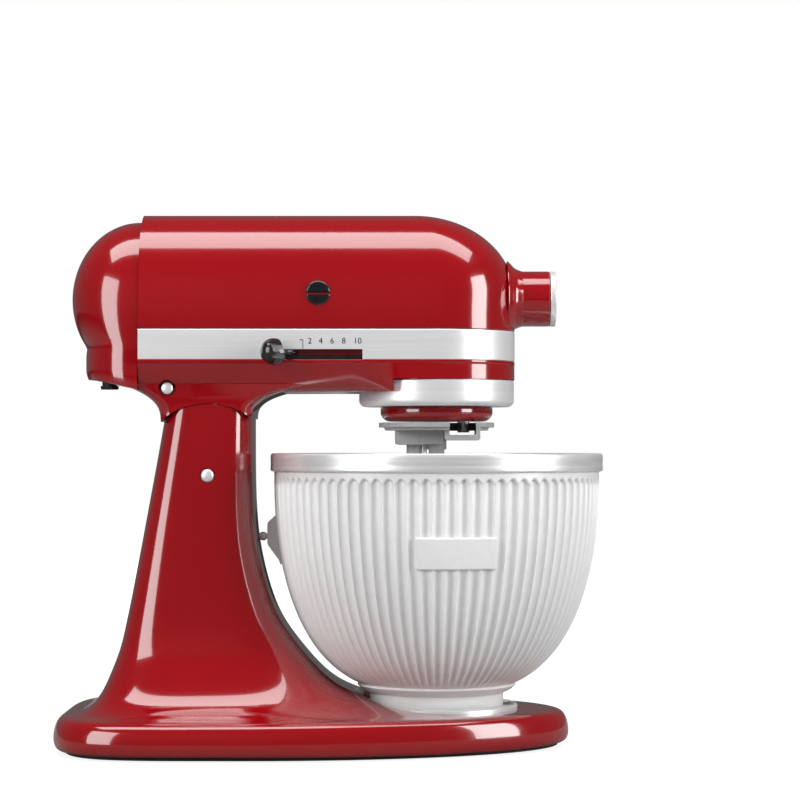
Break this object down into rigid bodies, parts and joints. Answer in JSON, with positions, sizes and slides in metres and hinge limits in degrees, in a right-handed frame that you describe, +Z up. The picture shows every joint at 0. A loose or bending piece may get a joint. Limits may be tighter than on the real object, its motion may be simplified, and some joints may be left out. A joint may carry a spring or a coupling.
{
  "type": "ice cream maker",
  "caption": "Tilt-head stand mixer fitted with a ribbed double-walled freezing bowl, a drive adapter and a dasher that churns ice cream as the gearbox turns it",
  "frame": {"origin": "centre of the bounding box at its lowest face, on the surface it stands on", "axes": "+Z up, +X towards the attachment hub, +Y away from the speed lever"},
  "size_m": [0.3626, 0.2238, 0.3537],
  "materials": {
    "enamel": "glossy red enamel over die-cast metal",
    "steel": "brushed and polished stainless steel",
    "aluminium": "satin spun aluminium",
    "gear_steel": "machined steel, lightly oiled",
    "bronze": "machined bronze",
    "rubber": "matt black rubber",
    "black_plastic": "glossy black moulding",
    "grey_plastic": "satin grey moulding",
    "white_plastic": "semi-gloss white moulding",
    "gel": "sealed coolant gel"
  },
  "bodies": {
    "base": {"base_casting": "enamel", "base_gasket": "rubber", "foot_1": "rubber", "foot_2": "rubber", "foot_3": "rubber", "foot_4": "rubber", "foot_5": "rubber", "bowl_clamp_plate": "steel", "clamp_screw_1": "steel", "clamp_screw_2": "steel", "clamp_screw_3": "steel", "hinge_pin": "steel"},
    "head": {"upper_housing": "enamel", "hub_barrel": "enamel", "lower_gearcase": "enamel", "rear_cover": "enamel", "trim_band": "steel", "trim_ring": "steel", "ring_gear": "gear_steel", "centre_bushing": "bronze", "hub_bezel": "steel", "hub_hinge_pin": "steel", "field_stator": "gear_steel", "brush_left": "black_plastic", "brush_right": "black_plastic", "brush_cap_left": "black_plastic", "brush_cap_right": "black_plastic", "lever_post": "steel", "cord_bushing": "black_plastic"},
    "armature": {"armature_shaft": "steel", "rotor_core": "gear_steel", "commutator": "bronze", "cooling_fan": "grey_plastic"},
    "worm_gear_shaft": {"worm_wheel": "bronze", "drive_pinion": "gear_steel"},
    "planetary": {"centre_gear": "gear_steel", "crown_gear": "gear_steel", "centre_shaft": "steel", "planetary_cover": "enamel", "drive_adapter": "grey_plastic"},
    "beater": {"beater_shaft": "steel", "beater_pinion": "gear_steel"},
    "hub_drive": {"hub_drive_shaft": "gear_steel"},
    "hub_lid": {"hub_cover": "steel"},
    "hub_knob": {"hub_thumbscrew": "black_plastic"},
    "speed_lever": {"speed_arm": "steel", "speed_knob": "black_plastic"},
    "lock": {"lock_shaft": "steel", "lock_lever": "black_plastic"},
    "bowl": {"bowl_shell": "white_plastic", "bowl_liner": "aluminium", "coolant_fill": "gel", "bowl_bracket": "white_plastic"},
    "dasher": {"dasher": "white_plastic"}
  },
  "joints": [
    {"name": "head_tilt", "type": "hinge", "parent": "base", "child": "head", "pos_m": [-0.08027, 0, 0.18], "axis": [0, -1, 0], "range_deg": [0, 38]},
    {"name": "planetary_spin", "type": "hinge", "parent": "head", "child": "planetary", "pos_m": [0.07003, 0, 0.22], "axis": [0, 0, 1], "continuous": true},
    {"name": "beater_spin", "type": "hinge", "parent": "planetary", "child": "beater", "pos_m": [0.08803, 0, 0.22], "axis": [0, 0, 1], "continuous": true},
    {"name": "worm_gear_spin", "type": "hinge", "parent": "head", "child": "worm_gear_shaft", "pos_m": [0.04223, 0.0235, 0.29], "axis": [0, 0, 1], "continuous": true},
    {"name": "armature_spin", "type": "hinge", "parent": "head", "child": "armature", "pos_m": [0, 0, 0.298], "axis": [1, 0, 0], "continuous": true},
    {"name": "hub_drive_spin", "type": "hinge", "parent": "head", "child": "hub_drive", "pos_m": [0.07003, 0, 0.298], "axis": [1, 0, 0], "continuous": true},
    {"name": "dasher_spin", "type": "hinge", "parent": "bowl", "child": "dasher", "pos_m": [0.07003, 0, 0.1], "axis": [0, 0, 1], "continuous": true},
    {"name": "bowl_twist", "type": "hinge", "parent": "base", "child": "bowl", "pos_m": [0.07003, 0, 0.03], "axis": [0, 0, 1], "range_deg": [0, 34]},
    {"name": "hub_lid_swing", "type": "hinge", "parent": "head", "child": "hub_lid", "pos_m": [0.14843, 0, 0.3124], "axis": [0, -1, 0], "range_deg": [0, 110]},
    {"name": "hub_knob_turn", "type": "hinge", "parent": "head", "child": "hub_knob", "pos_m": [0.13373, 0, 0.298], "axis": [0, 1, 0], "range_deg": [0, 330]},
    {"name": "speed_lever_swing", "type": "hinge", "parent": "head", "child": "speed_lever", "pos_m": [-0.01927, 0.025, 0.2604], "axis": [0, 0, 1], "range_deg": [0, 26]},
    {"name": "lock_lever_turn", "type": "hinge", "parent": "head", "child": "lock", "pos_m": [-0.10677, 0, 0.237], "axis": [0, 1, 0], "range_deg": [0, 50]}
  ],
  "couplings": [
    {"joint": "planetary_spin", "follows": "armature_spin", "ratio": 0.02},
    {"joint": "beater_spin", "follows": "armature_spin", "ratio": -0.07},
    {"joint": "worm_gear_spin", "follows": "armature_spin", "ratio": -0.05},
    {"joint": "hub_drive_spin", "follows": "armature_spin", "ratio": 0.06},
    {"joint": "dasher_spin", "follows": "armature_spin", "ratio": 0.02}
  ]
}
